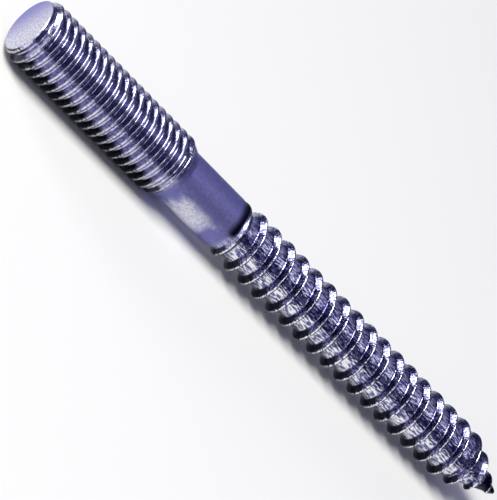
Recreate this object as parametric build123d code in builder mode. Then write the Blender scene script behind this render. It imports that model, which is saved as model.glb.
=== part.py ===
from build123d import *
import math
import os

# Hanger bolt lying on its side along X, in millimetres, centred on the origin.
# The machine end is at -X and the point at +X. The machine thread rests on Z = 0.

# Whole bolt
overall_length = 100.6

# Machine end, with its fine thread drawn plain at the major diameter
machine_diameter = 9.85
machine_length = 30.3
end_flat_diameter = 8.4
end_chamfer_length = 1.4
runout_length = 1.7

# Plain shank between the threads
shank_diameter = 8.0
shank_length = 10.7

# Lag thread, single start and right handed, with flanks that spread a little at the root
lag_diameter = 8.92
lag_root_diameter = 6.9
lag_pitch = 3.0
lag_crest_width = 0.2
lag_flank_angle = 30
lag_root_blend_angle = 32
lag_root_blend_height = 0.5
lag_rise_length = 3.3
lag_start_angle = 44.4

# Gimlet point
point_angle = 27.5
point_shoulder_angle = 12
point_shoulder_length = 3.0
point_root_angle = 15.5
point_root_length = 9.2
point_turns = 3
nose_diameter = 0.8
nose_length = 0.2

# Where things begin along X
machine_radius = machine_diameter / 2
shank_radius = shank_diameter / 2
lag_radius = lag_diameter / 2
machine_end = -overall_length / 2
shank_start = machine_end + machine_length
lag_start = shank_start + shank_length
point_end = machine_end + overall_length
nose_start = point_end - nose_length
shoulder_drop = point_shoulder_length * math.tan(math.radians(point_shoulder_angle))
cone_rise = lag_radius - shoulder_drop - nose_diameter / 2
cone_start = nose_start - cone_rise / math.tan(math.radians(point_angle))

# The bolt before its lag thread is cut: half of its outline, turned about its own axis
bolt_axis = Axis((0, 0, machine_radius), (1, 0, 0))
with BuildPart() as hanger_bolt:
    with BuildSketch(Plane.XY.offset(machine_radius)):
        with BuildLine():
            Polyline(
                (machine_end, 0),
                (machine_end, end_flat_diameter / 2),
                (machine_end + end_chamfer_length, machine_radius),
                (shank_start - runout_length, machine_radius),
                (shank_start, shank_radius),
                (lag_start, shank_radius),
                (lag_start + lag_rise_length, lag_radius),
                (cone_start - point_shoulder_length, lag_radius),
                (cone_start, lag_radius - shoulder_drop),
                (nose_start, nose_diameter / 2),
                (point_end, 0),
                close=True,
            )
        make_face()
    revolve(axis=bolt_axis)

# Section of the groove between the ridges: a flat floor, a flared foot and a straight flank each side
lag_root_radius = lag_root_diameter / 2
thread_depth = lag_radius - lag_root_radius
flank_slope = math.tan(math.radians(lag_flank_angle))
blend_width = lag_root_blend_height * math.tan(math.radians(lag_root_blend_angle))
ridge_half_base = lag_crest_width / 2 + (thread_depth - lag_root_blend_height) * flank_slope + blend_width
root_half_width = lag_pitch / 2 - ridge_half_base


def groove_turn(start_radius, taper, depth):
    """One turn of the groove, cut outwards from its floor, around X from straight up at X = 0."""
    blend_edge = root_half_width + blend_width
    mouth = blend_edge + (depth - lag_root_blend_height) * flank_slope
    with BuildPart() as turn:
        with BuildLine() as helix:
            Helix(lag_pitch, lag_pitch, start_radius, direction=(1, 0, 0), cone_angle=-taper)
        with BuildSketch(Plane(origin=helix.line @ 0, x_dir=(1, 0, 0), z_dir=(0, -1, 0))):
            with BuildLine():
                Polyline(
                    (-root_half_width, 0),
                    (root_half_width, 0),
                    (blend_edge, lag_root_blend_height),
                    (mouth, depth),
                    (-mouth, depth),
                    (-blend_edge, lag_root_blend_height),
                    close=True,
                )
            make_face()
        sweep(path=helix.line, is_frenet=True)
    return turn.part


def turn_place(x):
    """Where a turn of the groove goes: along the axis, and round it to the thread's start."""
    return Location((x, 0, machine_radius), (lag_start_angle, 0, 0))


# Full turns count back from the point. Each cut stands a little above the crest,
# and stays narrow enough there to miss its own next turn.
point_root_start = point_end - point_root_length
full_turns = int((point_root_start - lag_start) // lag_pitch)
cutter_clearance = lag_crest_width / 4 / flank_slope
straight_turn = groove_turn(lag_root_radius, 0, thread_depth + cutter_clearance)

# One more turn brings the groove in from just outside the shank
fade_start = point_root_start - (full_turns + 1) * lag_pitch
fade_clearance = 0.05
fade_rise = shank_radius + fade_clearance - lag_root_radius
fade_taper = math.degrees(math.atan(fade_rise / lag_pitch))
fade_turn = groove_turn(lag_root_radius + fade_rise, fade_taper, thread_depth)

with hanger_bolt:
    with Locations(turn_place(fade_start)):
        add(fade_turn, mode=Mode.SUBTRACT)
    with Locations([turn_place(fade_start + (k + 1) * lag_pitch) for k in range(full_turns)]):
        add(straight_turn, mode=Mode.SUBTRACT)

# Over the point the floor of the groove closes in more slowly than the crests, and runs out of them
turn_drop = lag_pitch * math.tan(math.radians(point_root_angle))
point_depth = thread_depth + turn_drop / 2
for k in range(point_turns):
    point_turn = groove_turn(lag_root_radius - k * turn_drop, point_root_angle, point_depth)
    with hanger_bolt:
        with Locations(turn_place(point_root_start + k * lag_pitch)):
            add(point_turn, mode=Mode.SUBTRACT)

hanger_bolt.part.label = "hanger_bolt"
os.makedirs("parts", exist_ok=True)
export_step(hanger_bolt.part, "parts/hanger_bolt.step")
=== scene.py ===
import math

import bmesh
import bpy
from mathutils import Matrix, Vector


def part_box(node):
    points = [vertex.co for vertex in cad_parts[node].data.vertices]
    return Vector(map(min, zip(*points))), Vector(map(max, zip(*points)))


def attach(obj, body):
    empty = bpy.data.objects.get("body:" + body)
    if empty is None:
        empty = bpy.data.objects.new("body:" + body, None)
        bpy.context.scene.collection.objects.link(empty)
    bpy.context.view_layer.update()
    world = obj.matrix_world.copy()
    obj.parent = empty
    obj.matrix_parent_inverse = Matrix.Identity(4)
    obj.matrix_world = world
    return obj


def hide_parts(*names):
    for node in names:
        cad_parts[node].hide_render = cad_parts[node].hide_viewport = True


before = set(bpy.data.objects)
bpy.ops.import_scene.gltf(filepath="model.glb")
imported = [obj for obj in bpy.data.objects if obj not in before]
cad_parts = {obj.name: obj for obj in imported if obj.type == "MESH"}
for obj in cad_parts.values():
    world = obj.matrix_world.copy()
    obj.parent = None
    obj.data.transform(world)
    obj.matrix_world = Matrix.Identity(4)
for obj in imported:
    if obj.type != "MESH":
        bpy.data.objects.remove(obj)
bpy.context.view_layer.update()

# The machine end of the bolt: a metric thread rolled on a steel rod that was sheared
# to length and lightly chamfered. The ridges die out in a short cone before the shank.
# Lengths are in millimetres along the bolt, measured from the sheared end.
MM = 0.001
bolt_low, bolt_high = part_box("hanger_bolt")
bolt_length = (bolt_high[0] - bolt_low[0]) / MM
shank_radius = 4.0
machine_crest = (bolt_high[2] - bolt_low[2]) / 2 / MM
machine_root = 4.08
machine_pitch = 1.5
machine_turns = 24
end_rim = 0.1
machine_cut = 31.5

# The ridges begin before the rod does, so that the cut at its end leaves a part of one on the chamfer
machine_first_crest = 2.54 - 3 * machine_pitch

# Half a section of the machine ridge: how far from its middle, and how high from root to crest
machine_half = [(0, 1), (0.04, 1), (0.08, 0.99), (0.12, 0.96), (0.16, 0.9), (0.185, 0.849), (0.5, 0.203),
                (0.53, 0.142), (0.57, 0.075), (0.62, 0.025), (0.68, 0), (0.75, 0)]

# Radii of the crests and of the floor between them, at places along the bolt
machine_top = [(0, 4.2), (1.4, machine_crest), (28.5, machine_crest), (30.3, shank_radius)]
machine_floor = [(26.5, machine_root), (29.2, 4.5), (30.3, shank_radius)]


def between(stations, x):
    """The value at x on a line through (place, value) stations, level beyond both ends."""
    if x <= stations[0][0]:
        return stations[0][1]
    for (x0, y0), (x1, y1) in zip(stations, stations[1:]):
        if x <= x1:
            return y0 + (y1 - y0) * (x - x0) / (x1 - x0)
    return stations[-1][1]


def rolled_thread(half, pitch, first_crest, turns, top, floor, span):
    """Ridge sections side by side, spun once round as they move on by a pitch so that each meets
    the next, then drawn in between the floor and top stations and cut square at both ends."""
    facets = 92
    weld = 0.005
    low_ridge = 0.15
    section = [(-along, height) for along, height in reversed(half[1:])] + half
    thread = bmesh.new()
    for turn in range(turns):
        crest = first_crest + turn * pitch
        points = [thread.verts.new((crest + along, 1 + height, 0)) for along, height in section]
        for pair in zip(points, points[1:]):
            thread.edges.new(pair)
    bmesh.ops.spin(thread, geom=thread.verts[:] + thread.edges[:], axis=(1, 0, 0), cent=(0, 0, 0),
                   dvec=(pitch / facets, 0, 0), angle=2 * math.pi, steps=facets)
    bmesh.ops.remove_doubles(thread, verts=thread.verts, dist=weld)

    # Each point keeps its height on the ridge for the material, less where the ridge is low
    ridge_height = thread.verts.layers.float.new("ridge_height")
    for vert in thread.verts:
        height = math.hypot(vert.co.y, vert.co.z) - 1
        foot = between(floor, vert.co.x)
        rise = between(top, vert.co.x) - foot
        vert[ridge_height] = height * min(1, rise / low_ridge)
        draw = (foot + height * rise) / (1 + height)
        vert.co.y *= draw
        vert.co.z *= draw
    for end, outwards in zip(span, (-1, 1)):
        whole = thread.verts[:] + thread.edges[:] + thread.faces[:]
        bmesh.ops.bisect_plane(thread, geom=whole, dist=0.0001, plane_co=(end, 0, 0),
                               plane_no=(outwards, 0, 0), clear_outer=True)
    return thread


machine_thread = rolled_thread(machine_half, machine_pitch, machine_first_crest, machine_turns,
                               machine_top, machine_floor, (end_rim, machine_cut))

# The far end: a coarse lag thread for wood, rolled deeper than the shank, that fades in
# from it and runs out over a gimlet point. Its ridges are thin, with a wide floor between.
lag_crest = 4.46
lag_root = 3.45
lag_pitch = 3.0
lag_turns = 24
lag_cut = 38.0
nose_cut = bolt_length - 0.01
lag_first_crest = 43.78 - 3 * lag_pitch
lag_half = [(0, 1), (0.04, 0.995), (0.08, 0.97), (0.12, 0.92), (0.15, 0.868), (0.18, 0.817), (0.5, 0.268),
            (0.53, 0.217), (0.58, 0.137), (0.64, 0.068), (0.71, 0.022), (0.8, 0), (1.04, 0), (1.27, 0), (1.5, 0)]

# On the point, places are measured back from its tip
point_top = [(9.9, lag_crest), (8.3, 4.25), (6.87, 3.87), (5.6, 3.25), (3.84, 2.52), (2.77, 1.78), (0.97, 0.83),
             (0.45, 0.6), (0.15, 0.38), (0, 0.12)]
point_floor = [(8.8, lag_root), (5.3, 2.34), (3.06, 1.48), (0.97, 0.62), (0.45, 0.46), (0.15, 0.3), (0, 0.12)]
lag_top = [(41.0, shank_radius), (44.3, lag_crest)]
lag_top += [(bolt_length - back, radius) for back, radius in point_top]
lag_floor = [(40.3, shank_radius), (42.4, 3.55), (44.0, lag_root)]
lag_floor += [(bolt_length - back, radius) for back, radius in point_floor]
lag_thread = rolled_thread(lag_half, lag_pitch, lag_first_crest, lag_turns, lag_top, lag_floor,
                           (lag_cut, nose_cut))

# Both threads are rolled on one rod, so they're joined along the plain shank between them.
# The sheared end gets its flat face with a worn rim, and the point its blunt nose.
bolt = bmesh.new()
for thread in (machine_thread, lag_thread):
    part = bpy.data.meshes.new("thread")
    thread.to_mesh(part)
    thread.free()
    bolt.from_mesh(part)
    bpy.data.meshes.remove(part)
rim_slack = 0.5
shank_rims = [edge for edge in bolt.edges if edge.is_boundary
              and machine_cut - rim_slack < edge.verts[0].co.x < lag_cut + rim_slack]
bmesh.ops.bridge_loops(bolt, edges=shank_rims)
ends = bmesh.ops.holes_fill(bolt, edges=[edge for edge in bolt.edges if edge.is_boundary])["faces"]
sheared_end = min(ends, key=lambda face: face.calc_center_median().x)
bmesh.ops.recalc_face_normals(bolt, faces=bolt.faces)
bmesh.ops.inset_region(bolt, faces=[sheared_end], thickness=end_rim, depth=end_rim)
axis_height = (bolt_low[2] + bolt_high[2]) / 2
bmesh.ops.scale(bolt, vec=(MM, MM, MM), verts=bolt.verts)
bmesh.ops.translate(bolt, vec=(bolt_low[0], 0, axis_height), verts=bolt.verts)
bolt_mesh = bpy.data.meshes.new("hanger_bolt_steel")
bolt.to_mesh(bolt_mesh)
bolt.free()
sharp_edge = math.radians(38)
bolt_mesh.shade_smooth()
bolt_mesh.set_sharp_from_angle(angle=sharp_edge)
bolt_piece = bpy.data.objects.new("hanger_bolt_steel", bolt_mesh)
bpy.context.collection.objects.link(bolt_piece)
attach(bolt_piece, "root")
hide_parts("hanger_bolt")


def linear(code):
    """A colour written as sRGB hex, as the linear RGBA that a shader reads."""
    parts = [int(code[i:i + 2], 16) / 255 for i in (1, 3, 5)]
    return [part / 12.92 if part <= 0.04045 else ((part + 0.055) / 1.055) ** 2.4 for part in parts] + [1]


def add_node(tree, kind, inputs, **settings):
    """A node with its settings, and its inputs set to values or linked from other nodes' sockets."""
    node = tree.nodes.new(kind)
    for name, value in settings.items():
        setattr(node, name, value)
    for name, value in inputs.items():
        if isinstance(value, bpy.types.NodeSocket):
            tree.links.new(value, node.inputs[name])
        else:
            node.inputs[name].default_value = value
    return node


# Zinc plated steel with a blue-violet passivate, bright on the rolled threads, satin on the
# drawn shank, dull and grainy on the sheared end. The threads' flanks carry painted shade and
# their crests are worn pale. Places are in millimetres from the sheared end, and patterns per millimetre.
zinc_plate = bpy.data.materials.new("zinc plated steel, blue passivated")
zinc_plate.use_nodes = True
zinc = zinc_plate.node_tree
zinc.nodes.clear()
place = add_node(zinc, "ShaderNodeTexCoord", {})
outwards = place.outputs["Normal"]
in_mm = add_node(zinc, "ShaderNodeMapping", {"Vector": place.outputs["Object"],
                                             "Scale": (1 / MM, 1 / MM, 1 / MM)}).outputs[0]
along_bolt = add_node(zinc, "ShaderNodeSeparateXYZ", {"Vector": in_mm}).outputs["X"]
from_end = add_node(zinc, "ShaderNodeMath", {0: along_bolt, 1: bolt_low[0] / MM}, operation="SUBTRACT").outputs[0]
ridge_height = add_node(zinc, "ShaderNodeAttribute", {}, attribute_name="ridge_height").outputs["Fac"]

# Where the sheared end, the drawn shank and the lag thread lie
sheared = add_node(zinc, "ShaderNodeMapRange", {"Value": from_end, "From Min": 0.12, "From Max": 0.04}).outputs[0]
shank_begins = add_node(zinc, "ShaderNodeMapRange", {"Value": from_end, "From Min": 28.8, "From Max": 29.8},
                        interpolation_type="SMOOTHSTEP").outputs[0]
shank_ends = add_node(zinc, "ShaderNodeMapRange", {"Value": from_end, "From Min": 42.2, "From Max": 40.2},
                      interpolation_type="SMOOTHSTEP").outputs[0]
drawn = add_node(zinc, "ShaderNodeMath", {0: shank_begins, 1: shank_ends}, operation="MULTIPLY").outputs[0]
lag_side = add_node(zinc, "ShaderNodeMapRange", {"Value": from_end, "From Min": 40, "From Max": 44}).outputs[0]

# Rolled threads: pale plate with darker violet specks a few tenths of a millimetre across
specks_per_mm = 2.8
specks = add_node(zinc, "ShaderNodeTexNoise", {"Vector": in_mm, "Scale": specks_per_mm, "Detail": 6,
                                               "Roughness": 0.7}).outputs["Fac"]
speck_mask = add_node(zinc, "ShaderNodeMapRange", {"Value": specks, "From Min": 0.38, "From Max": 0.6}).outputs[0]
rolled_tone = add_node(zinc, "ShaderNodeMix", {"Factor": speck_mask, "A": linear("#7877AE"), "B": linear("#DBDBEC")},
                       data_type="RGBA").outputs["Result"]

# The lag thread carries dashes along the bolt, dark and bright, about 0.9 by 0.3 mm, where the rolls slid
dashes_per_mm = (1.1, 3.6, 3.6)
dash_strength = 0.9
dash_place = add_node(zinc, "ShaderNodeMapping", {"Vector": in_mm, "Scale": dashes_per_mm}).outputs[0]
dashes = add_node(zinc, "ShaderNodeTexNoise", {"Vector": dash_place, "Scale": 1, "Detail": 1.5,
                                               "Roughness": 0.5}).outputs["Fac"]
dash_mask = add_node(zinc, "ShaderNodeMapRange", {"Value": dashes, "From Min": 0.43, "From Max": 0.57}).outputs[0]
dash_tone = add_node(zinc, "ShaderNodeMix", {"Factor": dash_mask, "A": linear("#4C4B88"), "B": linear("#FAFAFD")},
                     data_type="RGBA").outputs["Result"]
dash_share = add_node(zinc, "ShaderNodeMath", {0: lag_side, 1: dash_strength}, operation="MULTIPLY").outputs[0]
marked_tone = add_node(zinc, "ShaderNodeMix", {"Factor": dash_share, "A": rolled_tone, "B": dash_tone},
                       data_type="RGBA").outputs["Result"]

# The flanks are painted darker and mottled as shade in the grooves, most of all on the lag thread. The tip is nearly
# black
flank = add_node(zinc, "ShaderNodeMapRange", {"Value": ridge_height, "From Min": 0.01, "From Max": 0.06}).outputs[0]
flank_shade_share = add_node(zinc, "ShaderNodeMapRange", {"Value": lag_side, "To Min": 0.3, "To Max": 0.72}).outputs[0]
painted_flank_shade = add_node(zinc, "ShaderNodeMath", {0: flank, 1: flank_shade_share}, operation="MULTIPLY").outputs[0]
tip = add_node(zinc, "ShaderNodeMapRange", {"Value": from_end, "From Min": 96.9, "From Max": 97.3}).outputs[0]
flank_shade_and_dark_tip = add_node(zinc, "ShaderNodeMath", {0: painted_flank_shade, 1: tip}, operation="MAXIMUM").outputs[0]
mottled_flank_shade = add_node(zinc, "ShaderNodeMix", {"Factor": dash_mask, "A": linear("#383867"), "B": linear("#6F6EAA")},
                   data_type="RGBA").outputs["Result"]
flank_shade_and_tip_tone = add_node(zinc, "ShaderNodeMix", {"Factor": tip, "A": mottled_flank_shade, "B": linear("#151430")},
                     data_type="RGBA").outputs["Result"]
flank_shaded_tone = add_node(zinc, "ShaderNodeMix", {"Factor": flank_shade_and_dark_tip, "A": marked_tone, "B": flank_shade_and_tip_tone},
                       data_type="RGBA").outputs["Result"]

# Painted shade: the flanks are painted darkest where they face down
facing_up = add_node(zinc, "ShaderNodeSeparateXYZ", {"Vector": outwards}).outputs["Z"]
painted_underside_shade = add_node(zinc, "ShaderNodeMapRange", {"Value": facing_up, "From Min": -0.09, "From Max": -0.2,
                                                   "To Max": 0.92}).outputs[0]
painted_flank_underside = add_node(zinc, "ShaderNodeMath", {0: flank, 1: painted_underside_shade}, operation="MULTIPLY").outputs[0]
underside_shaded_tone = add_node(zinc, "ShaderNodeMix", {"Factor": painted_flank_underside, "A": flank_shaded_tone, "B": linear("#100F26")},
                      data_type="RGBA").outputs["Result"]

# Rolling and handling wear the crests bright, with a ragged edge
ragged = add_node(zinc, "ShaderNodeMapRange", {"Value": dashes, "From Min": 0.3, "From Max": 0.7,
                                               "To Min": -0.17, "To Max": 0.11}).outputs[0]
worn_height = add_node(zinc, "ShaderNodeMath", {0: ridge_height, 1: ragged}, operation="ADD").outputs[0]
crest = add_node(zinc, "ShaderNodeMapRange", {"Value": worn_height, "From Min": 0.86, "From Max": 0.95}).outputs[0]
crest_share = add_node(zinc, "ShaderNodeMapRange", {"Value": lag_side, "To Min": 0.5}).outputs[0]
worn_crest = add_node(zinc, "ShaderNodeMath", {0: crest, 1: crest_share}, operation="MULTIPLY").outputs[0]
thread_tone = add_node(zinc, "ShaderNodeMix", {"Factor": worn_crest, "A": underside_shaded_tone, "B": linear("#F8F8FC")},
                       data_type="RGBA").outputs["Result"]

# Drawn shank: an even, deep violet, painted darker as shade on its lower front side, with a pale patchy painted
# reflection of the table in the middle of that side
reflection_middle = 34.8
patches_per_mm = 0.9
towards_lower_front = add_node(zinc, "ShaderNodeVectorMath", {0: outwards, 1: (0, -0.94, -0.34)},
                          operation="DOT_PRODUCT").outputs["Value"]
lower_front_side = add_node(zinc, "ShaderNodeMapRange", {"Value": towards_lower_front, "From Min": 0.72, "From Max": 0.95},
                       interpolation_type="SMOOTHSTEP").outputs[0]
from_reflection_middle = add_node(zinc, "ShaderNodeMath", {0: from_end, 1: reflection_middle}, operation="SUBTRACT").outputs[0]
reflection_reach = add_node(zinc, "ShaderNodeMath", {0: from_reflection_middle}, operation="ABSOLUTE").outputs[0]
reflection_length = add_node(zinc, "ShaderNodeMapRange", {"Value": reflection_reach, "From Min": 4.4, "From Max": 1.6},
                         interpolation_type="SMOOTHSTEP").outputs[0]
reflection_area = add_node(zinc, "ShaderNodeMath", {0: lower_front_side, 1: reflection_length}, operation="MULTIPLY").outputs[0]
patches = add_node(zinc, "ShaderNodeTexNoise", {"Vector": in_mm, "Scale": patches_per_mm, "Detail": 3,
                                                "Roughness": 0.6}).outputs["Fac"]
patchy = add_node(zinc, "ShaderNodeMapRange", {"Value": patches, "From Min": 0.3, "From Max": 0.7,
                                               "To Min": -0.25, "To Max": 0.25}).outputs[0]
reflection_edge = add_node(zinc, "ShaderNodeMath", {0: reflection_area, 1: patchy}, operation="ADD").outputs[0]
painted_reflection = add_node(zinc, "ShaderNodeMapRange", {"Value": reflection_edge, "From Min": 0.1, "From Max": 0.95}).outputs[0]
violet_tone = add_node(zinc, "ShaderNodeMix", {"Factor": speck_mask, "A": linear("#8685C2"), "B": linear("#9796CC")},
                       data_type="RGBA").outputs["Result"]
# Painted reflection of the table: a pale, patchy tone on the lower front side of the shank
reflection_tone = add_node(zinc, "ShaderNodeMix", {"Factor": speck_mask, "A": linear("#B9B9D2"), "B": linear("#E6E6EE")},
                       data_type="RGBA").outputs["Result"]
# Painted shade: the shank is darker on its lower front side, outside the pale patch
shaded_lower_front_tone = add_node(zinc, "ShaderNodeMix", {"Factor": lower_front_side, "A": violet_tone, "B": linear("#7B7AB4")},
                      data_type="RGBA").outputs["Result"]
drawn_tone = add_node(zinc, "ShaderNodeMix", {"Factor": painted_reflection, "A": shaded_lower_front_tone, "B": reflection_tone},
                      data_type="RGBA").outputs["Result"]
rod_tone = add_node(zinc, "ShaderNodeMix", {"Factor": drawn, "A": thread_tone, "B": drawn_tone},
                    data_type="RGBA").outputs["Result"]

# Painted shade: where the lag thread begins, the shank is painted dark over its upper side as the shade of a pressed
# hollow, without the hollow's form
towards_top = add_node(zinc, "ShaderNodeVectorMath", {0: outwards, 1: (0, -0.26, 0.966)},
                       operation="DOT_PRODUCT").outputs["Value"]
upper_side = add_node(zinc, "ShaderNodeMapRange", {"Value": towards_top, "From Min": 0.42, "From Max": 0.64},
                      interpolation_type="SMOOTHSTEP").outputs[0]
hollow_begins = add_node(zinc, "ShaderNodeMapRange", {"Value": from_end, "From Min": 39.5, "From Max": 40.9},
                         interpolation_type="SMOOTHSTEP").outputs[0]
hollow_ends = add_node(zinc, "ShaderNodeMapRange", {"Value": from_end, "From Min": 41.6, "From Max": 41.2}).outputs[0]
hollow_length = add_node(zinc, "ShaderNodeMath", {0: hollow_begins, 1: hollow_ends}, operation="MULTIPLY").outputs[0]
painted_hollow_shade = add_node(zinc, "ShaderNodeMath", {0: upper_side, 1: hollow_length}, operation="MULTIPLY").outputs[0]
hollow_shaded_tone = add_node(zinc, "ShaderNodeMix", {"Factor": painted_hollow_shade, "A": rod_tone, "B": linear("#1B1A38")},
                     data_type="RGBA").outputs["Result"]

# Sheared end: grey-white grain, with the violet left on its far side
grains_per_mm = 3.5
across_end = add_node(zinc, "ShaderNodeSeparateXYZ", {"Vector": in_mm}).outputs["Y"]
far_side = add_node(zinc, "ShaderNodeMapRange", {"Value": across_end, "From Min": -2, "From Max": 4},
                    interpolation_type="SMOOTHSTEP").outputs[0]
grain = add_node(zinc, "ShaderNodeTexNoise", {"Vector": in_mm, "Scale": grains_per_mm, "Detail": 5,
                                              "Roughness": 0.7}).outputs["Fac"]
grain_mask = add_node(zinc, "ShaderNodeMapRange", {"Value": grain, "From Min": 0.35, "From Max": 0.65}).outputs[0]
sheared_pale = add_node(zinc, "ShaderNodeMix", {"Factor": grain_mask, "A": linear("#9898B8"), "B": linear("#F0EFF4")},
                        data_type="RGBA").outputs["Result"]
sheared_tone = add_node(zinc, "ShaderNodeMix", {"Factor": far_side, "A": sheared_pale, "B": linear("#8C8BC6")},
                        data_type="RGBA").outputs["Result"]
tone = add_node(zinc, "ShaderNodeMix", {"Factor": sheared, "A": hollow_shaded_tone, "B": sheared_tone},
                data_type="RGBA").outputs["Result"]

# The dashes are also pressed in, deepest on the floor of the lag thread, and fine dents lie all over
pits_per_mm = 5
dent_depth = 0.02 * MM
root = add_node(zinc, "ShaderNodeMapRange", {"Value": ridge_height, "From Min": 0.15, "From Max": 0.03}).outputs[0]
lag_root_side = add_node(zinc, "ShaderNodeMath", {0: root, 1: lag_side}, operation="MULTIPLY").outputs[0]
mark_depth = add_node(zinc, "ShaderNodeMapRange", {"Value": lag_root_side, "To Min": 0.6, "To Max": 4.5}).outputs[0]
deep_marks = add_node(zinc, "ShaderNodeMath", {0: dashes, 1: mark_depth}, operation="MULTIPLY").outputs[0]
pits = add_node(zinc, "ShaderNodeTexNoise", {"Vector": in_mm, "Scale": pits_per_mm, "Detail": 2,
                                             "Roughness": 0.5}).outputs["Fac"]
relief = add_node(zinc, "ShaderNodeMath", {0: deep_marks, 1: pits}, operation="ADD").outputs[0]
bump = add_node(zinc, "ShaderNodeBump", {"Height": relief, "Strength": 1.0, "Distance": dent_depth}).outputs[0]

# Rolled threads are glossy. The drawn shank, the sheared end and most of the point are satin.
satin_roughness = 0.55
worn_point = add_node(zinc, "ShaderNodeMapRange", {"Value": from_end, "From Min": 94, "From Max": 96,
                                                   "To Max": 0.6}).outputs[0]
worn = add_node(zinc, "ShaderNodeMath", {0: drawn, 1: worn_point}, operation="MAXIMUM").outputs[0]
satin = add_node(zinc, "ShaderNodeMath", {0: worn, 1: sheared}, operation="MAXIMUM").outputs[0]
rolled_gloss = add_node(zinc, "ShaderNodeMapRange", {"Value": lag_side, "To Min": 0.18, "To Max": 0.15}).outputs[0]
gloss = add_node(zinc, "ShaderNodeMix", {"Factor": satin, "A": rolled_gloss, "B": satin_roughness},
                 data_type="FLOAT").outputs["Result"]
plate = add_node(zinc, "ShaderNodeBsdfPrincipled", {"Base Color": tone, "Metallic": 1.0, "Roughness": gloss,
                                                    "Normal": bump})
add_node(zinc, "ShaderNodeOutputMaterial", {"Surface": plate.outputs[0]})
bolt_mesh.materials.append(zinc_plate)

# The studio table: one plain pale sheet of matt card, 8 m each way, far wider than the bolt,
# which lies on it. It is no part of the object.
floor_bm = bmesh.new()
bmesh.ops.create_grid(floor_bm, x_segments=1, y_segments=1, size=4)
floor_mesh = bpy.data.meshes.new("studio_floor")
floor_bm.to_mesh(floor_mesh)
floor_bm.free()
floor = bpy.data.objects.new("studio_floor", floor_mesh)
bpy.context.collection.objects.link(floor)
card = bpy.data.materials.new("matt white card")
card.use_nodes = True
card.node_tree.nodes["Principled BSDF"].inputs["Base Color"].default_value = linear("#F6F6F6")
card.node_tree.nodes["Principled BSDF"].inputs["Roughness"].default_value = 0.9
floor_mesh.materials.append(card)

# Plain soft studio light in a dim cool room. A large box high over the machine end lights the
# table and the bolt. Small ones in front, beside and above draw the marks on the threads, and a
# long violet one beyond the point keeps the shank even.
bolt_middle = Vector((0, 0, axis_height))


def softbox(name, towards, away, width, height, power, colour, roll=0):
    """A rectangular lamp that faces the bolt from a direction. Lengths are in metres, the power
    is in watts, and roll turns the box about its own line to the bolt, in degrees."""
    lamp = bpy.data.lights.new(name, "AREA")
    lamp.shape = "RECTANGLE"
    lamp.size = width
    lamp.size_y = height
    lamp.energy = power
    lamp.color = colour
    box = bpy.data.objects.new(name, lamp)
    box.location = bolt_middle + Vector(towards).normalized() * away
    box.rotation_euler = (-Vector(towards)).to_track_quat("-Z", "Y").to_euler()
    box.rotation_euler.rotate_axis("Z", math.radians(roll))
    bpy.context.collection.objects.link(box)


softbox("key_softbox", (-0.6, -0.17, 0.79), 1.6, 0.93, 0.67, 29, (1, 0.995, 0.9))
softbox("front_softbox", (-0.698, -0.629, 0.342), 1.0, 0.35, 0.3, 1.1, (1, 1, 1))
softbox("side_softbox", (-0.804, 0.543, 0.242), 1.0, 0.36, 0.22, 2.5, (1, 1, 1))
softbox("top_softbox", (0.454, -0.2, 0.868), 1.0, 0.25, 0.6, 0.5, (0.8, 0.8, 1))
softbox("strip_softbox", (0.454, 0.446, 0.772), 1.1, 0.5, 2.0, 0.85, (0.65, 0.65, 1), 38)
room = bpy.data.worlds.new("dim_room")
room.use_nodes = True
room.node_tree.nodes["Background"].inputs["Color"].default_value = (0.05, 0.051, 0.128, 1)
bpy.context.scene.world = room

# The camera looks along the bolt from its machine end, a long lens well away from it. Its
# three axes come from the bolt's angle to the line of sight, the tilt and the slope in the photo.
axis_to_view = math.radians(63)
view_tilt = math.radians(30)
image_slope = math.radians(45.217)
lens = 345.8
sensor = 36
camera_away = 648.6 * MM
aim_along = -6.61 * MM
aim_right = 1.356 * MM
aim_down = 1.897 * MM
facing = Vector((0, -math.cos(view_tilt), math.sin(view_tilt)))
across = Vector((0, math.sin(view_tilt), math.cos(view_tilt)))
back = Vector((-math.cos(axis_to_view), 0, 0)) + facing * math.sin(axis_to_view)
along = Vector((math.sin(axis_to_view), 0, 0)) + facing * math.cos(axis_to_view)
right = along * math.cos(image_slope) + across * math.sin(image_slope)
up = across * math.cos(image_slope) - along * math.sin(image_slope)
camera_data = bpy.data.cameras.new("camera")
camera_data.lens = lens
camera_data.sensor_width = sensor
camera = bpy.data.objects.new("camera", camera_data)
aim = Vector((aim_along, 0, axis_height)) + right * aim_right - up * aim_down
turn = Matrix((right, up, back)).transposed().to_4x4()
camera.matrix_world = Matrix.Translation(aim + back * camera_away) @ turn
bpy.context.collection.objects.link(camera)
bpy.context.scene.camera = camera
bpy.context.scene.view_settings.view_transform = "Standard"
